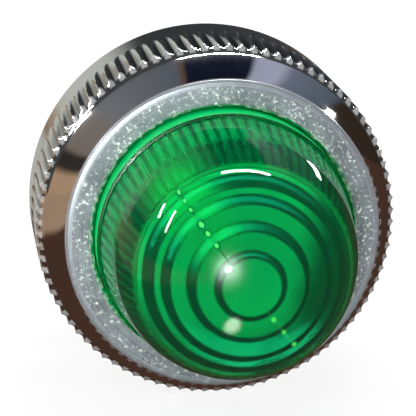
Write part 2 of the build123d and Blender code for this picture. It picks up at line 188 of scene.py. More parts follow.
class Finish:
    # a material with its shader, its Object coordinates and the round coordinates of the light's axis
    def __init__(self, name, constants):
        self.material = bpy.data.materials.new(name)
        self.material.use_nodes = True
        tree = self.material.node_tree
        self.shader = tree.nodes["Principled BSDF"]
        self.place = Wire(tree).node("ShaderNodeTexCoord", out="Object")
        for socket, value in constants.items():
            self.shader.inputs[socket].default_value = value

    def round(self):  # radius, height in front of the panel and angle, in metres and radians
        x, y, z = self.place.axes()
        return (x * x + z * z).power(0.5), 0 - y, x.math("ARCTAN2", z, x)

    def vector(self, x, y, z):
        return self.place.node("ShaderNodeCombineXYZ", None, {0: x, 1: y, 2: z})

    def feedAll(self, inputs, sockets):
        for name, value in sockets.items():
            self.place.feed(inputs[name.replace("_", " ")], value)

    def drive(self, **sockets):
        self.feedAll(self.shader.inputs, sockets)
        return self.material

    def cover(self, share, constants, **sockets):  # a second, opaque finish where share is 1
        tree = self.material.node_tree
        second = self.place.node("ShaderNodeBsdfPrincipled", None, constants)
        self.feedAll(second.socket.node.inputs, sockets)
        first = Wire(tree, self.shader.outputs[0])
        mixed = self.place.node("ShaderNodeMixShader", None, {0: share, 1: first, 2: second})
        self.place.feed(tree.nodes["Material Output"].inputs["Surface"], mixed)


def easedSection(corners, roundings, steps=4):  # a half section whose corners are eased by small curves
    eased = []
    for index, (radius, height) in enumerate(corners):
        size = roundings.get(index, 0)
        if not size:
            eased.append((radius, height))
            continue
        here = Vector((radius, height))
        before = Vector(corners[index - 1]) - here
        after = Vector(corners[(index + 1) % len(corners)]) - here
        start = here + before.normalized() * min(size, before.length * 0.45)
        stop = here + after.normalized() * min(size, after.length * 0.45)
        for step in range(steps + 1):
            t = step / steps
            point = start * (1 - t) ** 2 + here * 2 * t * (1 - t) + stop * t**2
            eased.append((point.x, point.y))
    return eased


def easedRing(corners, size, steps=3):
    return easedSection(corners, {index: size for index in range(len(corners))}, steps)


def meshFrom(form, name):
    mesh = bpy.data.meshes.new(name)
    form.to_mesh(mesh)
    form.free()
    return mesh


def gridMesh(name, rows, closedAround, closedAlong):
    # rows of points, in mm; doubled points at the axis and at the seam are merged
    form = bmesh.new()
    verts = [[form.verts.new(Vector(point) * mm) for point in row] for row in rows]
    columns = len(rows[0])
    for r in range(len(rows) - (0 if closedAround else 1)):
        near, far = verts[r], verts[(r + 1) % len(rows)]
        for c in range(columns - (0 if closedAlong else 1)):
            following = (c + 1) % columns
            form.faces.new((near[c], near[following], far[following], far[c]))
    bmesh.ops.remove_doubles(form, verts=form.verts, dist=1e-4 * mm)
    bmesh.ops.dissolve_degenerate(form, edges=form.edges, dist=1e-5 * mm)
    bmesh.ops.recalc_face_normals(form, faces=form.faces)
    return meshFrom(form, name)


def turnedMesh(name, section, segments=96, closed=True):
    rows = []
    for index in range(segments):
        turn = 2 * pi * index / segments
        rows.append([(radius * cos(turn), radius * sin(turn), height) for radius, height in section])
    return gridMesh(name, rows, True, closed)


def place(data, name):
    made = bpy.data.objects.new(name, data)
    scene.collection.objects.link(made)
    return made


def smoothed(mesh, angle=32):
    mesh.shade_smooth()
    mesh.set_sharp_from_angle(angle=radians(angle))
    return mesh


def dress(made, node, material):
    # a finished piece stands for its CAD node: it takes the node's body, and the node is hidden
    made.data.materials.clear()
    made.data.materials.append(material)
    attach(made, frame["nodes"][node]["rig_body"])
    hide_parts(node)
    return made


def turnedPiece(name, node, section, material, segments=96, closed=True, angle=32):
    mesh = turnedMesh(name, section, segments, closed)
    mesh.transform(layDown)
    return dress(place(smoothed(mesh, angle), name), node, material)


def polishedPiece(name, node, material, bevel=0.08, angle=32):
    # a merged copy of the node with eased edges
    form = bmesh.new()
    form.from_mesh(frame["nodes"][node].data)
    bmesh.ops.remove_doubles(form, verts=form.verts, dist=1e-3 * mm)
    bmesh.ops.dissolve_limit(form, angle_limit=radians(0.5), verts=form.verts, edges=form.edges)
    made = place(meshFrom(form, name), name)
    if bevel:
        eased = made.modifiers.new("easedEdges", "BEVEL")
        eased.width = bevel * mm
        eased.segments = 2
        eased.limit_method = "ANGLE"
        eased.angle_limit = radians(angle)
        eased.use_clamp_overlap = True
        made.data = plainMesh(made)
    smoothed(made.data, angle)
    return dress(made, node, material)


def plainMesh(made):  # the evaluated mesh; its modifiers are then removed
    graph = bpy.context.evaluated_depsgraph_get()
    mesh = bpy.data.meshes.new_from_object(made.evaluated_get(graph))
    made.modifiers.clear()
    return mesh


class GeometryTree:
    def __init__(self, name, inputs):
        self.tree = bpy.data.node_groups.new(name, "GeometryNodeTree")
        sockets = self.tree.interface
        for label, kind in inputs.items():
            sockets.new_socket(label, in_out="INPUT", socket_type=kind)
        sockets.new_socket("Geometry", in_out="OUTPUT", socket_type="NodeSocketGeometry")
        self.input = Wire(self.tree).node("NodeGroupInput")

    def value(self, label):
        return self.input.other(label)

    def end(self, geometry, material):
        real = geometry.node("GeometryNodeRealizeInstances", None, {"Geometry": geometry})
        painted = real.node("GeometryNodeSetMaterial", None, {"Geometry": real, "Material": material})
        painted.node("NodeGroupOutput", None, {"Geometry": painted})

    def apply(self, made, values):  # runs the tree on an object and keeps the plain mesh
        modifier = made.modifiers.new(self.tree.name, "NODES")
        modifier.node_group = self.tree
        for item in self.tree.interface.items_tree:
            if item.in_out == "INPUT" and item.name in values:
                modifier[item.identifier] = values[item.name]
        made.data = plainMesh(made)
        return made.data


def ringTree():
    # copies of one sector, set round the axis and merged along their sides
    inputs = {"Geometry": "NodeSocketGeometry", "Count": "NodeSocketInt", "Material": "NodeSocketMaterial"}
    ring = GeometryTree("ringOfSectors", inputs)
    start, count = ring.value("Geometry"), ring.value("Count")
    points = start.node("GeometryNodePoints", None, {"Count": count})
    turn = start.node("GeometryNodeInputIndex") * (2 * pi) / count
    euler = start.node("ShaderNodeCombineXYZ", None, {"Z": turn})
    rotation = start.node("FunctionNodeEulerToRotation", None, {"Euler": euler})
    sockets = {"Points": points, "Instance": start, "Rotation": rotation}
    copies = start.node("GeometryNodeInstanceOnPoints", None, sockets)
    real = start.node("GeometryNodeRealizeInstances", None, {"Geometry": copies})
    merged = start.node("GeometryNodeMergeByDistance", None, {"Geometry": real, "Distance": 2e-3 * mm})
    ring.end(merged, ring.value("Material"))
    return ring


def coilTree(name, profileInputs, makeProfile):
    # a right-handed helix along Z, swept with a profile
    inputs = {label: "NodeSocketFloat" for label in ("Turns", "Pitch", "Radius")}
    inputs["Steps"] = "NodeSocketInt"
    inputs.update({label: "NodeSocketFloat" for label in profileInputs})
    inputs["Material"] = "NodeSocketMaterial"
    coil = GeometryTree(name, inputs)
    turns, radius = coil.value("Turns"), coil.value("Radius")
    sockets = {"Resolution": coil.value("Steps"), "Rotations": turns, "Start Radius": radius, "End Radius": radius,
               "Height": turns * coil.value("Pitch"), "Reverse": True}
    helix = turns.node("GeometryNodeCurveSpiral", None, sockets)
    upright = turns.node("GeometryNodeSetCurveNormal", {"mode": "Z_UP"}, {"Curve": helix})
    sockets = {"Curve": upright, "Profile Curve": makeProfile(coil), "Fill Caps": True}
    coil.end(turns.node("GeometryNodeCurveToMesh", None, sockets), coil.value("Material"))
    return coil


def ridgeProfile(coil):  # thread form: across the axis in X, along it in Y
    high, crest, root = coil.value("Ridge"), coil.value("Crest") * 0.5, coil.value("Root") * 0.5
    corners = [(0.0, root), (high, crest), (high, 0 - crest), (0.0, 0 - root)]
    points = [high.node("ShaderNodeCombineXYZ", None, {"X": x, "Y": y}) for x, y in corners]
    sockets = {f"Point {index + 1}": point for index, point in enumerate(points)}
    return high.node("GeometryNodeCurvePrimitiveQuadrilateral", {"mode": "POINTS"}, sockets)


def wireProfile(coil):
    sockets = {"Resolution": 12, "Radius": coil.value("Wire Radius")}
    return coil.input.node("GeometryNodeCurvePrimitiveCircle", None, sockets)


ringOfSectors = ringTree()
screwThread = coilTree("screwThread", ("Ridge", "Crest", "Root"), ridgeProfile)
coiledWire = coilTree("coiledWire", ("Wire Radius",), wireProfile)
print("node trees made")


# finishes

chromeLook = {
    "plate": (0.86, 0.87, 0.89, 1), "satin": (0.12, 0.13, 0.15, 1),
    "sheen": (0.36, 0.39, 0.44, 1), "paintedGlint": (0.97, 0.96, 0.93, 1),
    "pit": (0.20, 0.20, 0.20, 1), "paintedFluteShade": (0.10, 0.095, 0.09, 1),
    "edge": (0.80, 0.82, 0.80, 1), "corner": (0.38, 0.41, 0.46, 1), "flutes": 90.0, "flute": 0.34,
    "mirror": 0.045, "satinRoughness": 0.36, "knurlRoughness": 0.14, "cornerRoughness": 0.30,
    "paintedGlintScale": 1350.0, "glintNoiseScale": 2900.0, "pitScale": 1700.0, "cloudScale": 420.0, "streakScale": 5200.0,
    # where zones start and are full, as depths under the face, as distances in from the rim, or as radii
    "faceDepth": (0.14, 0.02), "edgeDepth": (0.36, 0.3), "cornerDepth": (0.5, 0.2), "knurlDepth": (5.2, 4.5),
    "toothFoot": (5.6, 5.2), "toothTop": (4.45, 4.3), "knurlIn": (0.8, 0.5), "toothIn": (0.75, 0.6),
    "openingEdge": (12.45, 12.55), "satinEnd": (13.95, 14.1),
}


def spots(finish, scale, size, share):  # round spots in some cells of a pattern
    cells = finish.place.node("ShaderNodeTexVoronoi", None, {"Vector": finish.place, "Scale": scale})
    chosen = cells.node("ShaderNodeSeparateColor", None, {0: cells.other("Color")})
    return (1 - cells.rise(size * 0.6, size)) * chosen.rise(1 - share, 1 - share + 0.03)


def chromePlate():
    look = chromeLook
    finish = Finish("chromePlate", {})
    radius, height, angle = finish.round()
    face, rim = ends("bezel")[1], reach("bezel")

    def above(zone):
        return height.riseMm(face - zone[0], face - zone[1])

    def beyond(zone):
        return radius.riseMm(rim - zone[0], rim - zone[1])

    onFace = above(look["faceDepth"])
    inFlute = 1 - beyond((look["flute"], 0.06))
    onKnurl = (1 - above(look["knurlDepth"])) * beyond(look["knurlIn"])
    cloud = finish.place.noise(look["cloudScale"], 4.0)
    patchy = cloud.rise(0.35, 0.65)
    # painted glints: the satin face gets white, diffuse specks where the pitted plate would sparkle; the same specks
    # also raise its relief
    glintNoise = finish.place.noise(look["glintNoiseScale"], 4.0, 0.7).rise(0.55, 0.63)
    paintedGlint = spots(finish, look["paintedGlintScale"], 0.22, 0.35).larger(glintNoise * (0.35 + patchy * 0.65))
    pit = spots(finish, look["pitScale"], 0.24, 0.26)
    streak = finish.vector(radius * look["streakScale"], angle * 2.0, 0.0).noise(1.0, 3.0)
    satin = (cloud * 0.6 + streak * 0.5).rise(0.25, 0.85).blend(look["satin"], look["sheen"])
    satin = (pit * 0.8).blend(satin, look["pit"])
    satin = paintedGlint.blend(satin, look["paintedGlint"])
    # painted shade: the deep parts of the knurl's flutes are darkened
    metal = (inFlute * onKnurl * 0.8).blend(look["plate"], look["paintedFluteShade"])
    # painted highlight: the opening's edge is lighter in dots, and the ends of the teeth are pale, as glints
    onEdge = (1 - radius.riseMm(*look["openingEdge"])) * above(look["edgeDepth"])
    onEdge = onEdge * finish.place.noise(1500.0, 2.0).rise(0.45, 0.6)
    tooth = (angle * look["flutes"]).wave().rise(0.25, 0.7)
    toothEnd = (1 - above(look["toothTop"])) * above(look["toothFoot"]) * beyond(look["toothIn"])
    paintedEdgeGlint = (toothEnd * tooth * (0.1 + cloud * 0.7)).larger(onEdge)
    onCorner = radius.riseMm(*look["satinEnd"]) * above(look["cornerDepth"])
    colour = (onCorner * 0.8).blend(onFace.blend(metal, satin), look["corner"])
    colour = paintedEdgeGlint.blend(colour, look["edge"])
    roughness = look["mirror"] + finish.place.noise(900.0, 2.0) * 0.05
    roughness = roughness + onKnurl * (look["knurlRoughness"] - look["mirror"])
    roughness = roughness + onFace * (1 - onCorner) * (look["satinRoughness"] - look["mirror"] + streak * 0.12)
    roughness = roughness.larger(onCorner * look["cornerRoughness"]).larger(paintedEdgeGlint * 0.3)
    relief = onFace * (paintedGlint * 0.7 - pit * 0.9 + streak * 0.35)
    metallic = 1 - (onFace * (0.5 + paintedGlint * 0.45)).larger(paintedEdgeGlint * 0.6).larger(onCorner * 0.35)
    return finish.drive(Base_Color=colour, Roughness=roughness, Metallic=metallic, Normal=relief.bump(0.35, 0.02 * mm))


def blackRubber():
    finish = Finish("blackRubber", {"Specular IOR Level": 0.35})
    grain = finish.place.noise(2600.0, 4.0)
    bloom = finish.place.noise(240.0, 3.0)
    colour = bloom.rise(0.45, 0.8).blend((0.022, 0.022, 0.023, 1), (0.05, 0.05, 0.05, 1))
    return finish.drive(Base_Color=colour, Roughness=0.55 + bloom * 0.2, Normal=grain.bump(0.3, 0.02 * mm))


def turnedMetal(name, clean, dull, roughness, lines=9000.0):
    # plated or bare metal with fine turning lines along the axis and dull patches
    finish = Finish(name, {"Metallic": 1.0})
    radius, height, angle = finish.round()
    turning = finish.vector(height * lines, radius * lines, angle * 0.4).noise(1.0, 2.0)
    patch = finish.place.noise(330.0, 4.0, 0.6)
    colour = patch.rise(0.48, 0.82).blend(clean, dull)
    rough = roughness + patch.rise(0.4, 0.8) * 0.16 + turning * 0.06
    return finish.drive(Base_Color=colour, Roughness=rough, Normal=turning.bump(0.12, 0.01 * mm))


def whitePlastic():
    finish = Finish("whitePlastic", {"Specular IOR Level": 0.45})
    flow = finish.place.noise(210.0, 4.0)
    grain = finish.place.noise(3200.0, 3.0)
    colour = flow.rise(0.3, 0.8).blend((0.86, 0.85, 0.81, 1), (0.79, 0.78, 0.73, 1))
    return finish.drive(Base_Color=colour, Roughness=0.38 + grain * 0.16, Normal=grain.bump(0.15, 0.01 * mm))


def brownPhenolic():
    finish = Finish("brownPhenolic", {"Specular IOR Level": 0.5, "Coat Roughness": 0.2})
    filler = finish.place.noise(2100.0, 5.0, 0.65)
    flow = finish.place.vectorMath("MULTIPLY", (1.0, 2.4, 1.0)).noise(260.0, 4.0)
    colour = (filler * 0.6 + flow * 0.5).rise(0.35, 0.75).blend((0.055, 0.026, 0.015, 1), (0.13, 0.066, 0.036, 1))
    gloss = {"Roughness": 0.3 + filler * 0.25, "Coat_Weight": 0.1 + flow * 0.25}
    return finish.drive(Base_Color=colour, Normal=filler.bump(0.15, 0.015 * mm), **gloss)


def blackGlass():
    finish = Finish("blackGlass", {"Specular IOR Level": 0.6, "Coat Weight": 0.4})
    ripple = finish.place.noise(700.0, 3.0)
    colour = ripple.blend((0.012, 0.012, 0.014, 1), (0.035, 0.035, 0.04, 1))
    return finish.drive(Base_Color=colour, Roughness=0.12 + ripple * 0.1, Normal=ripple.bump(0.2, 0.03 * mm))


def softSolder():
    finish = Finish("softSolder", {"Metallic": 1.0})
    grain = finish.place.noise(1500.0, 4.0, 0.6)
    colour = grain.rise(0.35, 0.7).blend((0.48, 0.49, 0.51, 1), (0.68, 0.69, 0.71, 1))
    return finish.drive(Base_Color=colour, Roughness=0.28 + grain * 0.3, Normal=grain.bump(0.5, 0.06 * mm))


def clearGlass():
    finish = Finish("clearGlass", {"Transmission Weight": 1.0, "IOR": 1.5})
    haze = finish.place.noise(380.0, 3.0)
    colour = haze.blend((0.90, 0.94, 0.94, 1), (0.97, 0.99, 0.99, 1))
    return finish.drive(Base_Color=colour, Roughness=haze.rise(0.5, 0.9) * 0.06)


materials = {
    "chrome": chromePlate(),
    "rubber": blackRubber(),
    "springSteel": turnedMetal("springSteel", (0.50, 0.50, 0.51, 1), (0.36, 0.36, 0.37, 1), 0.24),
    "nickel": turnedMetal("nickelPlate", (0.77, 0.74, 0.67, 1), (0.60, 0.57, 0.50, 1), 0.17),
    "zinc": turnedMetal("zincPlate", (0.70, 0.71, 0.73, 1), (0.52, 0.54, 0.58, 1), 0.30, 3000.0),
    "phenolic": brownPhenolic(),
    "whitePlastic": whitePlastic(),
    "brass": turnedMetal("bareBrass", (0.80, 0.60, 0.27, 1), (0.55, 0.38, 0.16, 1), 0.22, 4000.0),
    "lampNickel": turnedMetal("lampNickel", (0.78, 0.74, 0.64, 1), (0.58, 0.54, 0.45, 1), 0.24),
    "vitrite": blackGlass(),
    "solder": softSolder(),
    "glass": clearGlass(),
    "tungsten": turnedMetal("drawnTungsten", (0.28, 0.28, 0.30, 1), (0.18, 0.18, 0.20, 1), 0.35),
}
print("finishes made:", len(materials))


# bezel: one pitch of the rim, copied round

bezel = {
    "flutes": 90, "pitchSteps": 10,
    "faceWidth": 2.5, "faceCorner": 0.7, "openingChamfer": 0.3, "lip": 1.8,
    "wallDepth": 4.3, "wallFoot": 16.5, "wallCove": 0.2, "wallSteps": 12, "frontChamfer": 0.6, "rearChamfer": 0.25,
    "cutter": 0.6, "fluteDepth": 0.34, "fluteLength": 6.9, "fluteRows": 16,
    "opening": 12.15, "pocket": 13.5, "bore": 14.55, "pocketFoot": 13.35, "groove": (14.25, 15.1, 14.0),
}


def bezelSection():
    # corners of the half section and, for each, whether the flutes cut it
    b = bezel
    rear, face = ends("bezel")
    rim = reach("bezel")
    faceEdge = b["opening"] + b["faceWidth"]
    foot = face - b["wallDepth"]
    front = foot - b["frontChamfer"]
    grooveFoot, grooveTop, grooveRadius = b["groove"]
    plain = [
        (b["wallFoot"], rear), (b["bore"], rear), (b["bore"], b["pocketFoot"]), (b["pocket"], b["pocketFoot"]),
        (b["pocket"], grooveFoot), (grooveRadius, grooveFoot), (grooveRadius, grooveTop), (b["pocket"], grooveTop),
        (b["pocket"], face - b["lip"]), (b["opening"], face - b["lip"]),
        (b["opening"], face - b["openingChamfer"]), (b["opening"] + b["openingChamfer"], face),
        (faceEdge, face),
    ]
    lean = atan2(b["wallFoot"] - faceEdge, b["wallDepth"])
    wall = []
    for step in range(1, b["wallSteps"] + 1):
        t = step / b["wallSteps"]
        hollow = b["wallCove"] * 4 * t * (1 - t)
        wallRadius = faceEdge + (b["wallFoot"] - faceEdge) * t - hollow * cos(lean)
        wall.append((wallRadius, face - b["wallDepth"] * t - hollow * sin(lean)))
    eased = easedSection(plain + wall, {1: 0.2, 3: 0.15, 10: 0.07, 11: 0.07, 12: b["faceCorner"]}, 5)
    rows = [(radius, height, False) for radius, height in eased]
    for step in range(1, 4):  # the chamfer in front of the flutes
        t = step / 3
        rows.append((b["wallFoot"] + (rim - b["wallFoot"]) * t, foot + (front - foot) * t, True))
    for step in range(1, b["fluteRows"] + 1):  # closer rows where the flutes run out
        t = sin(pi / 2 * step / b["fluteRows"])
        rows.append((rim, front - (b["fluteLength"] + 0.1) * t, True))
    rows.append((rim, rear + b["rearChamfer"], False))
    rows.append((rim - b["rearChamfer"], rear, False))
    return rows, front


def makeBezel():
    b = bezel
    rows, front = bezelSection()
    rim = reach("bezel")
    pitch = 2 * pi / b["flutes"]
    columns = []
    for step in range(b["pitchSteps"] + 1):
        turn = pitch * (step / b["pitchSteps"] - 0.5)
        column = []
        for radius, height, cut in rows:
            if cut:
                depth = b["fluteDepth"] * (1 - max(0, (front - height) / b["fluteLength"]) ** 3)
                across = min(abs(rim * sin(turn)), b["cutter"])
                radius = min(radius, rim - depth + b["cutter"] - sqrt(b["cutter"] ** 2 - across**2))
            column.append((radius * cos(turn), radius * sin(turn), height))
        columns.append(column)
    made = place(gridMesh("bezelShell", columns, False, True), "bezelShell")
    mesh = ringOfSectors.apply(made, {"Count": b["flutes"], "Material": materials["chrome"]})
    mesh.transform(layDown)
    smoothed(mesh, 38)
    return dress(made, "bezel", materials["chrome"])


bezelShell = makeBezel()
print("bezel:", len(bezelShell.data.polygons), "faces")


# lens: one inner flute, copied round

lens = {
    "flutes": 72, "fluteSteps": 8, "fluteDepth": 0.3, "fluteWall": 1.55, "fluteTop": 10.2, "fluteRows": 8,
    "radius": 11.9, "wall": 1.7, "domeHeight": 6.9, "flangeThickness": 1.8,
    "collar": 12.0, "collarHeight": 2.3, "collarStep": 0.2,
    "stepShares": (0.92, 0.81, 0.69, 0.49, 0.28), "draft": 0.12, "stepRound": 0.16, "domeRows": 40,
}


def lensSection():
    # radius, height and whether the inner flutes follow it, from the apex down the outside and up the inside
    d = lens
    foot, apex = ends("lens")
    face = ends("bezel")[1]
    flange = reach("lens")
    centre = face + d["domeHeight"]
    dome = apex - centre
    inner = dome - d["wall"]
    fluteTop = face + d["fluteTop"]
    collarTop = face + d["collarHeight"]
    shoulder = foot + d["flangeThickness"]
    sideRadius = d["radius"] - d["collarStep"]
    sink = centre - collarTop
    lean = acos(dome / hypot(sideRadius, sink)) - atan2(sink, sideRadius)  # where the leaning side meets the sphere
    rows = []
    for step in range(d["domeRows"] + 1):
        t = pi / 2 - (pi / 2 - lean) * step / d["domeRows"]
        rows.append((dome * cos(t), centre + dome * sin(t), False))
    side = [rows[-1][:2], (sideRadius, collarTop), (d["collar"], collarTop)]
    side += [(d["collar"], shoulder), (flange, shoulder), (flange, foot)]
    side = easedSection(side, {1: 0.12, 2: 0.12, 3: 0.1, 4: 0.15, 5: 0.1}, 4)[1:]
    rows += [(radius, height, False) for radius, height in side]
    footCusp = d["radius"] - d["fluteWall"] - d["fluteDepth"]
    topCusp = sqrt(inner**2 - (fluteTop - centre) ** 2)
    for step in range(d["fluteRows"] + 1):
        t = step / d["fluteRows"]
        rows.append((footCusp + (topCusp - footCusp) * t, foot + (fluteTop - foot) * t, True))
    radii = [share * inner for share in d["stepShares"]]
    corners = [(radii[0] + d["draft"], fluteTop)]
    for radius, following in zip(radii, radii[1:] + [0]):
        tread = centre + sqrt(inner**2 - radius**2)
        corners.append((radius, tread))
        corners.append((following + d["draft"] if following else 0, tread))
    eased = easedSection(corners, {index: d["stepRound"] for index in range(1, len(corners) - 1)}, 4)
    rows += [(radius, height, False) for radius, height in eased]
    return rows


jewelLook = {
    "deep": (0.0, 0.94, 0.44, 1), "light": (0.02, 1.0, 0.38, 1), "shade": (0.0, 0.014, 0.005, 1),
    "edge": (0.0, 0.55, 0.13, 1), "lit": (0.0, 0.13, 0.038, 1), "bead": (0.07, 0.80, 0.12, 1),
    "polish": 0.015, "inside": 0.08, "riserWidth": 0.40, "riserShade": 0.97, "fluteShade": 0.93,
    # painted shade to one side: the direction it grows in, where it starts and is full, and where the seam lightens it
    "sideShadeShare": 0.88, "sideShadeWay": (0.94, -0.34), "sideShadeReach": (2.0, 5.5), "sideShadeBySeam": (0.5, 3.0),
    "lowerWay": (-0.8, -0.6), "lowerReach": (6.5, 9.0), "lowerShare": 0.6,
    "collarMilk": 0.7, "sideMilk": 0.3, "glowAcross": (0.8, 4.0), "glowAlong": (2.0, 5.0),
    "seamAngle": 126.3, "seamOffset": 0.15, "seamReach": (3.0, 9.9), "gleamReach": (-8.2, -1.0),
    "beads": ((9.5, 0.22), (8.85, 0.19), (8.15, 0.22), (6.9, 0.34), (6.1, 0.30), (5.0, 0.28)),
    "gleams": ((-3.1, 0.5), (-4.8, 0.45), (-6.7, 0.5)),
}


def greenJewel():
    d, look = lens, jewelLook
    finish = Finish("greenJewel", {"Transmission Weight": 0.975, "IOR": 1.49, "Specular IOR Level": 0.15})
    radius, height, angle = finish.round()
    face, apex = ends("bezel")[1], ends("lens")[1]
    centre = face + d["domeHeight"]
    dome = apex - centre
    inner = dome - d["wall"]
    above = height - centre * mm
    fromCentre = (radius * radius + above * above).power(0.5)
    inDome = 1 - fromCentre.riseMm(dome - 0.9, dome - 0.5)
    inSide = (1 - radius.riseMm(dome - 0.55, dome - 0.25)) * (1 - height.riseMm(centre, centre + 1))
    inside = inDome.larger(inSide)
    outside = 1 - inside
    fluteTop = face + d["fluteTop"]
    onSteps = height.riseMm(fluteTop - 0.08, fluteTop - 0.03)
    riser = 0.0
    for share in d["stepShares"][1:]:  # the risers of the steps are covered in near-black: painted shade
        aside = radius.away((share * inner + d["draft"] / 2) * mm)
        riser = (1 - aside.riseMm(look["riserWidth"] * 0.3, look["riserWidth"])).larger(riser)
    # painted shade too on the edges between the flutes, and on their ends by the ledge
    ribs = (angle * float(d["flutes"])).wave().rise(0.3, 0.9)
    fluteEnd = height.riseMm(fluteTop - 5.5, fluteTop - 0.5)
    fluted = ribs.larger(fluteEnd * 0.8) * look["fluteShade"]
    x, _, z = finish.place.axes()

    def way(direction):  # distance along a direction across the axis
        return x * direction[0] + z * direction[1]

    turn = radians(look["seamAngle"])
    along = way((cos(turn), sin(turn)))
    across = way((sin(turn), -cos(turn))).away(-look["seamOffset"] * mm)
    # painted glow: the green is lighter, and the inside cover lit, along the upper half of the seam
    bright = (1 - across.riseMm(*look["glowAcross"])) * along.riseMm(*look["glowAlong"])
    # painted shade: the colour is darker to one side, less so by the seam, and a little at the lower left
    sideShade = way(look["sideShadeWay"]).riseMm(*look["sideShadeReach"]) * (0.3 + across.riseMm(*look["sideShadeBySeam"]) * 0.7)
    lower = way(look["lowerWay"]).riseMm(*look["lowerReach"]) * look["lowerShare"]
    sideShade = sideShade.larger(lower) * look["sideShadeShare"]
    # painted light: the ledge after the flutes is covered like the risers, mostly in the lit green
    first = d["stepShares"][0] * inner
    ledge = onSteps * radius.riseMm(first - 0.25, first - 0.1)
    riser = (riser * look["riserShade"]).larger(ledge * look["riserShade"])
    shade = inside * (onSteps * riser.larger(sideShade) + (1 - onSteps) * fluted.larger(sideShade))
    collarTop = face + d["collarHeight"]
    # the side is a little milky, the collar more so
    collar = outside * (1 - height.riseMm(collarTop - 0.35, collarTop - 0.15)) * look["collarMilk"]
    side = outside * height.riseMm(collarTop, collarTop + 0.3) * (1 - height.riseMm(centre - 0.5, centre + 2))
    collar = collar.larger(side * look["sideMilk"])
    cloud = finish.place.noise(160.0, 2.0)
    # random cloudiness and the painted glow by the seam make the green lighter
    colour = (cloud.rise(0.3, 0.8) * 0.6).larger(bright).blend(look["deep"], look["light"])
    # the moulding seam crosses the dome, with small bubbles in its upper half, painted pale with a darker ring as if
    # lit, and painted highlights (gleams) in the lower

    def nearest(drops):  # how far from the nearest drop, in its own radius
        closest = 10.0
        for where, size in drops:
            off = (along - where * mm) / (size * mm)
            aside = across / (size * 0.85 * mm)
            closest = off.math("MINIMUM", (off * off + aside * aside).power(0.5), closest)
        return closest

    bubble = nearest(look["beads"])
    bead = outside * (1 - bubble.rise(0.45, 0.85))
    rim = outside * bubble.rise(0.6, 0.9) * (1 - bubble.rise(1.1, 1.5))

    def stroke(span, width, fadeIn, fadeOut):  # a line along the seam
        start, stop = span
        within = along.riseMm(start, start + fadeIn) * (1 - along.riseMm(stop - fadeOut, stop))
        return (1 - across.riseMm(0.03, width)) * within

    line = outside * stroke(look["seamReach"], 0.08, 0.8, 0.2)
    streak = stroke(look["gleamReach"], 0.12, 1, 1)
    gleam = outside * ((1 - nearest(look["gleams"]).rise(0.0, 1.0)) * 0.8).larger(streak * 0.25)
    light = bead.larger(gleam)
    # painted shade: on the milky side, bars darken where the inner flutes' edges lie behind
    tone = (side * ribs * 0.8).blend(look["edge"], look["shade"])
    # inside, the cover is the painted shade, turned to the painted lit green along the seam's glow and on the ledge
    tone = collar.rise(0.0, 0.2).blend(bright.larger(ledge * 0.6).blend(look["shade"], look["lit"]), tone)
    tone = light.rise(0.05, 0.3).blend(tone, look["bead"])
    share = shade.larger(collar).larger(rim.larger(line) * 0.6).larger(light * 0.85)
    finish.cover(share, {"Specular IOR Level": 0.0}, Base_Color=tone, Roughness=0.3 + cloud * 0.1)
    roughness = look["polish"] + inside * look["inside"] + bead * 0.25
    return finish.drive(Base_Color=colour, Roughness=roughness, Normal=(bead - rim * 0.5).bump(0.5, 0.05 * mm))


materials["jewel"] = greenJewel()


def makeLens():
    d = lens
    rows = lensSection()
    pitch = 2 * pi / d["flutes"]
    columns = []
    for step in range(d["fluteSteps"] + 1):
        share = step / d["fluteSteps"] - 0.5
        column = []
        for radius, height, fluted in rows:
            if fluted:
                radius += d["fluteDepth"] * (1 - (2 * share) ** 2)
            column.append((radius * cos(pitch * share), radius * sin(pitch * share), height))
        columns.append(column)
    made = place(gridMesh("lensDome", columns, False, False), "lensDome")
    mesh = ringOfSectors.apply(made, {"Count": d["flutes"], "Material": materials["jewel"]})
    mesh.transform(layDown)
    smoothed(mesh, 40)
    return dress(made, "lens", materials["jewel"])


lensDome = makeLens()
print("lens:", len(lensDome.data.polygons), "faces")


# bushing with its two threads

barrel = {
    "panelThread": 11.0, "panelPitch": 1.5, "capThread": 14.5, "capPitch": 1.25,
    "threadDepth": 0.62, "crest": 0.22, "root": 0.95, "flange": 16.2, "flangeTop": 2.4, "gasket": 0.8,
    "nose": 12.55, "noseLength": 1.0, "relief": 13.7, "reliefTop": 4.0, "bore": 9.6, "seatBore": 8.3, "seat": -8.5,
    "groove": (10.1, -6.5, -5.65),
}


def threadPart(name, radius, pitch, low, high):
    made = place(bpy.data.meshes.new(name), name)
    b = barrel
    scale = pitch / b["panelPitch"]
    values = {
        "Turns": (high - low) / pitch, "Pitch": pitch * mm, "Steps": 72,
        "Radius": (radius - b["threadDepth"] * scale - 0.02) * mm,
        "Ridge": (b["threadDepth"] * scale + 0.02) * mm,
        "Crest": b["crest"] * scale * mm, "Root": b["root"] * scale * mm,
        "Material": materials["nickel"],
    }
    mesh = screwThread.apply(made, values)
    mesh.transform(Matrix.Translation((0, 0, low * mm)))
    mesh.transform(layDown)
    return made


def joined(name, parts):  # one mesh from several objects
    form = bmesh.new()
    for part in parts:
        form.from_mesh(part.data)
    mesh = meshFrom(form, name)
    for part in parts:
        bpy.data.objects.remove(part)
    return place(mesh, name)


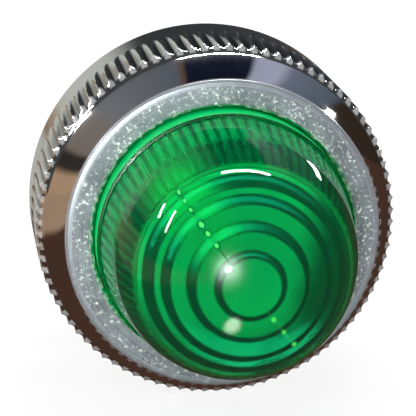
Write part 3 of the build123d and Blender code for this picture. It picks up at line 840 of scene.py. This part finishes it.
def makeBarrel():
    b = barrel
    rear, front = ends("barrel")
    capFront = front - b["noseLength"]
    capRoot = b["capThread"] - b["threadDepth"] * b["capPitch"] / b["panelPitch"]
    panelRoot = b["panelThread"] - b["threadDepth"]
    grooveRadius, grooveFoot, grooveTop = b["groove"]
    corners = [
        (b["bore"], front), (b["nose"], front), (b["nose"], capFront), (capRoot, capFront), (capRoot, b["reliefTop"]),
        (b["relief"] - 0.1, b["reliefTop"] - 0.4), (b["relief"] - 0.1, b["flangeTop"]),
        (b["flange"], b["flangeTop"]), (b["flange"], b["gasket"]), (panelRoot, b["gasket"]), (panelRoot, rear),
        (b["seatBore"], rear), (b["seatBore"], b["seat"]), (b["bore"], b["seat"]),
        (b["bore"], grooveFoot), (grooveRadius, grooveFoot), (grooveRadius, grooveTop), (b["bore"], grooveTop),
    ]
    eased = easedSection(corners, {0: 0.2, 1: 0.2, 3: 0.15, 7: 0.25, 8: 0.15, 10: 0.3, 11: 0.2}, 3)
    mesh = turnedMesh("barrelCore", eased, 144)
    mesh.transform(layDown)
    core = place(mesh, "barrelCore")
    gap = b["root"] / 2
    low, high = rear + gap + 0.2, b["gasket"] - gap - 0.3
    panelThread = threadPart("panelThread", b["panelThread"], b["panelPitch"], low, high)
    capThread = threadPart("capThread", b["capThread"], b["capPitch"], b["reliefTop"] + gap, capFront - gap - 0.1)
    made = joined("bushing", [core, panelThread, capThread])
    smoothed(made.data, 30)
    return dress(made, "barrel", materials["nickel"])


makeBarrel()
print("bushing made")


# rings, gaskets and the other turned pieces

def ringSection(node, inner, ease):
    low, high = ends(node)
    outer = reach(node)
    return easedRing([(inner, low), (outer, low), (outer, high), (inner, high)], ease)


turnedPiece("lensGasket", "lens_gasket", ringSection("lens_gasket", 10.55, 0.2), materials["rubber"], 120)
turnedPiece("panelGasket", "panel_gasket", ringSection("panel_gasket", 11.1, 0.18), materials["rubber"], 144)
for name, node, material, bevel in (
    ("lensRetainer", "lens_retainer", "springSteel", 0.08),
    ("bodyRetainer", "body_retainer", "springSteel", 0.08),
    ("reflectorCup", "reflector", "whitePlastic", 0.08),
    ("lockWasher", "lock_washer", "zinc", 0.06),
    ("panelNut", "panel_nut", "nickel", 0.1),
    ("socketBody", "socket_body", "phenolic", 0.12),
    ("socketShell", "socket_shell", "brass", 0.05),
    ("centreEyelet", "centre_eyelet", "brass", 0.06),
    ("contactPlunger", "contact_plunger", "brass", 0.1),
    ("contactDisc", "contact_disc", "phenolic", 0.1),
    ("liveTerminal", "live_terminal", "brass", 0.06),
    ("shellTerminal", "shell_terminal", "brass", 0.06),
    ("terminalScrews", "terminal_screws", "zinc", 0.15),
    ("wireClamps", "wire_clamps", "zinc", 0.1),
    ("lampBase", "lamp_base", "lampNickel", 0.05),
    ("lampInsulator", "lamp_insulator", "vitrite", 0.1),
    ("lampContact", "lamp_contact", "solder", 0.15),
    ("lampStem", "lamp_stem", "glass", 0.0),
    ("lampLeads", "lamp_leads", "lampNickel", 0.0),
):
    polishedPiece(name, node, materials[material], bevel)
print("small pieces made")


# lamp bulb, filament and contact spring

bulb = {"neck": 4.2, "shoulder": 2.2, "wall": 0.6, "shoulderFoot": 3.25, "rows": 14}


def bulbSide(inset):
    foot, top = ends("lamp_bulb")
    radius = reach("lamp_bulb") - inset
    neck = bulb["neck"] - inset
    centre = top - reach("lamp_bulb")
    corners = [(neck, foot), (neck, bulb["shoulderFoot"])]
    corners += [(radius, bulb["shoulderFoot"] + bulb["shoulder"]), (radius, centre)]
    side = easedSection(corners, {1: 0.9, 2: 0.9}, 5)
    for step in range(1, bulb["rows"] + 1):
        t = pi / 2 * step / bulb["rows"]
        side.append((radius * cos(t), centre + radius * sin(t)))
    return side


turnedPiece("lampBulb", "lamp_bulb", bulbSide(0)[::-1] + bulbSide(bulb["wall"]), materials["glass"], 96, False, 40)


def coilPart(name, coil, length, material):  # a straight coil, with its foot at the origin
    made = place(bpy.data.meshes.new(name), name)
    values = {
        "Turns": coil["turns"], "Pitch": length / coil["turns"] * mm, "Radius": coil["radius"] * mm,
        "Steps": coil["steps"], "Wire Radius": coil["wire"] * mm, "Material": material,
    }
    return made, coiledWire.apply(made, values)


spring = {"radius": 2.3, "wire": 0.3, "turns": 4.5, "steps": 48}


def makeSpring():
    low, high = ends("contact_spring")
    made, mesh = coilPart("contactSpring", spring, high - low - 2 * spring["wire"], materials["springSteel"])
    mesh.transform(Matrix.Translation((0, 0, (low + spring["wire"]) * mm)))
    mesh.transform(layDown)
    smoothed(mesh, 50)
    dress(made, "contact_spring", materials["springSteel"])
    push = next(joint for joint in frame["record"]["behaviour"]["joints"] if joint["name"] == "plunger_push")
    # the share of the spring's length that is left when the plunger is pushed fully in
    keep = 1 - push["range_m"][1] / ((high - low) * mm)
    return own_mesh(made)


makeSpring()

filament = {"radius": 0.085, "wire": 0.035, "turns": 26.0, "steps": 10}


def makeFilament():
    low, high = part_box("lamp_filament")
    half = (high.x - low.x) / 2 / mm - 0.1
    base, top = ends("lamp_filament")
    made, mesh = coilPart("lampFilament", filament, 2 * half, materials["tungsten"])
    rise = top - base - 0.3
    for vert in mesh.vertices:  # the straight coil is laid across and arched between the leads
        along = vert.co.z / mm - half
        lift = base + 0.12 + rise * (1 - (along / half) ** 2)
        vert.co = Vector((along, vert.co.y / mm, lift + vert.co.x / mm)) * mm
    mesh.transform(layDown)
    smoothed(mesh, 50)
    return dress(made, "lamp_filament", materials["tungsten"])


makeFilament()
print("lamp and spring made")


# stage: floor, cards that only mirrors see, lamps and world

def onlyFor(made, rays):  # the kinds of ray that see a stage piece
    for kind in ("camera", "diffuse", "glossy", "transmission", "volume_scatter", "shadow"):
        setattr(made, "visible_" + kind, kind in rays)


def seenDirectly(wire):  # 1 for rays that show the background: camera, mirror and glass
    path = wire.node("ShaderNodeLightPath", out="Is Camera Ray")
    return path.larger(path.other("Is Glossy Ray")).larger(path.other("Is Transmission Ray"))


stageLook = {"floorSize": 2.4, "floor": (0.90, 0.90, 0.90, 1), "shadowShare": 0.12, "ambient": 0.9}


def flatSheet(name, half, near, far, height):
    form = bmesh.new()
    for x, y in ((-half, near), (half, near), (half, far), (-half, far)):
        form.verts.new((x, y, height))
    form.faces.new(form.verts)
    return place(meshFrom(form, name), name)


def bareMaterial(name):  # without a shader
    material = bpy.data.materials.new(name)
    material.use_nodes = True
    tree = material.node_tree
    tree.nodes.remove(tree.nodes["Principled BSDF"])
    return material, Wire(tree)


def showShader(material, wire, shader):
    wire.feed(material.node_tree.nodes["Material Output"].inputs["Surface"], shader)


def makeFloor():
    size = stageLook["floorSize"] / 2
    floor = flatSheet("floor", size, -size, size, cadLow.z)
    material, wire = bareMaterial("paleFloor")
    paint = wire.node("ShaderNodeBsdfDiffuse", None, {"Color": stageLook["floor"]})
    white = wire.node("ShaderNodeEmission", None, {"Color": (1, 1, 1, 1)})
    share = seenDirectly(wire) * (1 - stageLook["shadowShare"])
    mixed = wire.node("ShaderNodeMixShader", None, {0: share, 1: paint, 2: white})
    showShader(material, wire, mixed)
    floor.data.materials.append(material)


makeFloor()

domeCentre = Vector((0, -(ends("bezel")[1] + lens["domeHeight"]) * mm, 0))
lamps = {  # directions of a tube's two ends from the dome, its width and its brightness
    "overheadTube": {"ends": ((-0.156, 0.194, 0.969), (0.435, 0.176, 0.883)), "width": 0.025, "glare": 60.0},
    "leftTube": {"ends": ((-0.773, 0.26, 0.579), (-0.873, 0.174, 0.455)), "width": 0.02, "glare": 60.0},
    "leftLowTube": {"ends": ((-0.766, -0.015, 0.643), (-0.918, -0.089, 0.385)), "width": 0.02, "glare": 38.0},
    "rightTube": {"ends": ((0.457, 0.878, 0.141), (0.654, 0.699, 0.291)), "width": 0.02, "glare": 30.0},
    "cameraFlash": {"ends": ((-0.253, -0.963, 0.048), (-0.253, -0.963, 0.128)), "width": 0.04, "glare": 140.0},
}

cards = {
    "tent": {
        "radius": 0.9, "front": (0.05, 0.05, 0.052, 1),
        "behind": (0.03, 0.032, 0.035, 1), "behindLeft": (0.48, 0.50, 0.45, 1),
        "throughLight": (11.0, 11.0, 11.0, 1), "throughDark": (0.04, 0.04, 0.04, 1),
        "room": (  # what the chrome wall mirrors, from the right over the top to the left
            (0.0, (0.030, 0.020, 0.014, 1)), (0.14, (0.030, 0.020, 0.014, 1)), (0.16, (0.08, 0.10, 0.13, 1)),
            (0.27, (0.14, 0.16, 0.21, 1)), (0.30, (0.36, 0.37, 0.47, 1)), (0.36, (0.34, 0.35, 0.45, 1)),
            (0.375, (0.006, 0.008, 0.02, 1)), (0.535, (0.006, 0.008, 0.02, 1)), (0.545, (0.10, 0.06, 0.04, 1)),
            (0.56, (0.09, 0.10, 0.12, 1)), (0.77, (0.17, 0.17, 0.18, 1)), (0.80, (0.19, 0.16, 0.14, 1)),
            (0.89, (0.18, 0.15, 0.125, 1)), (0.905, (0.03, 0.025, 0.02, 1)), (0.94, (0.03, 0.025, 0.02, 1)),
            (0.96, (0.40, 0.26, 0.16, 1)),
        ),
    },
    "halo": {"colour": (17.0, 18.0, 17.5, 1), "narrow": 70.0},
    "table": {
        "size": (2.4, 2.4), "near": -1.2, "lift": 0.0002,
        "brown": (0.060, 0.030, 0.020, 1), "tan": (0.34, 0.23, 0.15, 1), "tanFrom": (0.060, 0.075),
        "light": (0.46, 0.48, 0.43, 1), "lightLine": (-0.006, -0.27), "lightReach": (0.017, 0.10), "lightMiddle": 0.13,
        "pale": (12.0, 11.4, 10.8, 1), "paleAt": (-0.0042, -0.0482), "paleReach": (0.0034, 0.0058),
    },
}


def glowMaterial(name):
    material, wire = bareMaterial(name)
    return material, wire, wire.node("ShaderNodeTexCoord", out="Object")


def glow(material, wire, colour):
    showShader(material, wire, wire.node("ShaderNodeEmission", None, {"Color": colour}))


def towards(spot, direction):  # cosine between a point of a card and a direction
    return spot.vectorMath("NORMALIZE").vectorMath("DOT_PRODUCT", Vector(direction).normalized(), "Value")


def throughGlass(wire):  # 1 for rays that have come through the lens or the bulb
    return wire.node("ShaderNodeLightPath", out="Is Transmission Ray")


def haloOn(spot, colour):  # a soft round glow about the flash, as the dome sees it
    fromDome = spot.vectorMath("SUBTRACT", domeCentre)
    first, last = (Vector(end) for end in lamps["cameraFlash"]["ends"])
    halo = cards["halo"]
    return towards(fromDome, first + last).larger(0.0).power(halo["narrow"]).blend(colour, halo["colour"])


def makeTent():
    look = cards["tent"]
    form = bmesh.new()
    bmesh.ops.create_icosphere(form, subdivisions=4, radius=look["radius"])
    tent = place(meshFrom(form, "studioTent"), "studioTent")
    material, wire, spot = glowMaterial("studioTent")
    x, _, z = spot.axes()
    turn = (x.math("ARCTAN2", z, x) / pi).away(0.0)
    room = turn.node("ShaderNodeValToRGB", {"stops": look["room"]}, {"Fac": turn})
    room = towards(spot, (0, 1, 0)).rise(0.84, 0.92).blend(room, look["behind"])
    room = towards(spot, (-0.36, 0.93, 0.08)).rise(0.94, 0.98).blend(room, look["behindLeft"])
    colour = towards(spot, (0, 1, 0)).rise(0.12, 0.30).blend(look["front"], room)
    colour = haloOn(spot, colour)
    lit = towards(spot, (-0.6, -0.2, 0.75)).rise(-0.5, 0.6)
    colour = throughGlass(wire).blend(colour, lit.blend(look["throughDark"], look["throughLight"]))
    glow(material, wire, colour)
    tent.data.materials.append(material)
    onlyFor(tent, ("glossy", "transmission"))


def oval(x, y, reach):  # 0 at the middle of an oval, 1 at its edge
    x, y = x / reach[0], y / reach[1]
    return (x * x + y * y).power(0.5)


def makeTable():
    look = cards["table"]
    wide, deep = look["size"]
    table = flatSheet("darkTable", wide / 2, look["near"], look["near"] + deep, cadLow.z + look["lift"])
    material, wire, spot = glowMaterial("darkTable")
    x, y, _ = spot.axes()
    tan = (0 - x).rise(*look["tanFrom"])
    start, slant = look["lightLine"]
    light = 1 - oval(x - start - y * slant, y - look["lightMiddle"], look["lightReach"]).rise(0.7, 1.0)
    pale = 1 - oval(x - look["paleAt"][0], y - look["paleAt"][1], look["paleReach"]).rise(0.3, 1.1)
    colour = light.blend(tan.blend(look["brown"], look["tan"]), look["light"])
    colour = haloOn(spot, pale.blend(colour, look["pale"]))
    glow(material, wire, throughGlass(wire).blend(colour, cards["tent"]["throughDark"]))
    table.data.materials.append(material)
    onlyFor(table, ("glossy", "transmission"))


makeTent()
makeTable()

lampDistance = 0.5
for name, lamp in lamps.items():
    first, last = (Vector(end).normalized() for end in lamp["ends"])
    aim = (first + last).normalized()
    along = (last - first).normalized()
    across = along.cross(aim)
    light = bpy.data.lights.new(name, "AREA")
    light.shape = "RECTANGLE"
    light.size, light.size_y = lamp["width"], (last - first).length * lampDistance
    light.energy = lamp["glare"] * pi * light.size * light.size_y
    holder = place(light, name)
    turn = Matrix((across, along, aim)).transposed().to_4x4()
    holder.matrix_world = Matrix.Translation(domeCentre + aim * lampDistance) @ turn

world = bpy.data.worlds.new("softRoom")
scene.world = world
world.use_nodes = True
wire = Wire(world.node_tree)
room = world.node_tree.nodes["Background"]
room.inputs["Color"].default_value = (1, 1, 1, 1)
room.inputs["Strength"].default_value = stageLook["ambient"]
white = wire.node("ShaderNodeBackground", None, {"Color": (1, 1, 1, 1)})
lit = Wire(world.node_tree, room.outputs[0])
mixed = wire.node("ShaderNodeMixShader", None, {0: seenDirectly(wire), 1: lit, 2: white})
wire.feed(world.node_tree.nodes["World Output"].inputs["Surface"], mixed)
print("stage made")

# camera: long lens, a little above and to the left of the axis

view = {
    "azimuth": -7.9, "elevation": 15.1, "distance": 0.1854,
    "focalPixels": 2000.0, "framePixels": 416, "aimPixel": (224.0, 235.5),
}


def makeCamera():
    turn, lift = radians(view["azimuth"]), radians(view["elevation"])
    back = Vector((sin(turn) * cos(lift), -cos(turn) * cos(lift), sin(lift)))
    right = Vector((cos(turn), sin(turn), 0))
    up = back.cross(right)
    faceCentre = Vector((0, -ends("bezel")[1] * mm, 0))
    half = view["framePixels"] / 2
    perPixel = view["distance"] / view["focalPixels"]
    acrossShift = (view["aimPixel"][0] - half) * perPixel
    downShift = (view["aimPixel"][1] - half) * perPixel
    data = bpy.data.cameras.new("camera")
    data.sensor_width = 36.0
    data.lens = data.sensor_width * view["focalPixels"] / view["framePixels"]
    data.clip_start, data.clip_end = 0.01, 10.0
    camera = place(data, "camera")
    camera.location = faceCentre + back * view["distance"] - right * acrossShift + up * downShift
    camera.rotation_mode = "QUATERNION"
    camera.rotation_quaternion = (-back).to_track_quat("-Z", "Y")
    scene.camera = camera


makeCamera()
print("camera set")
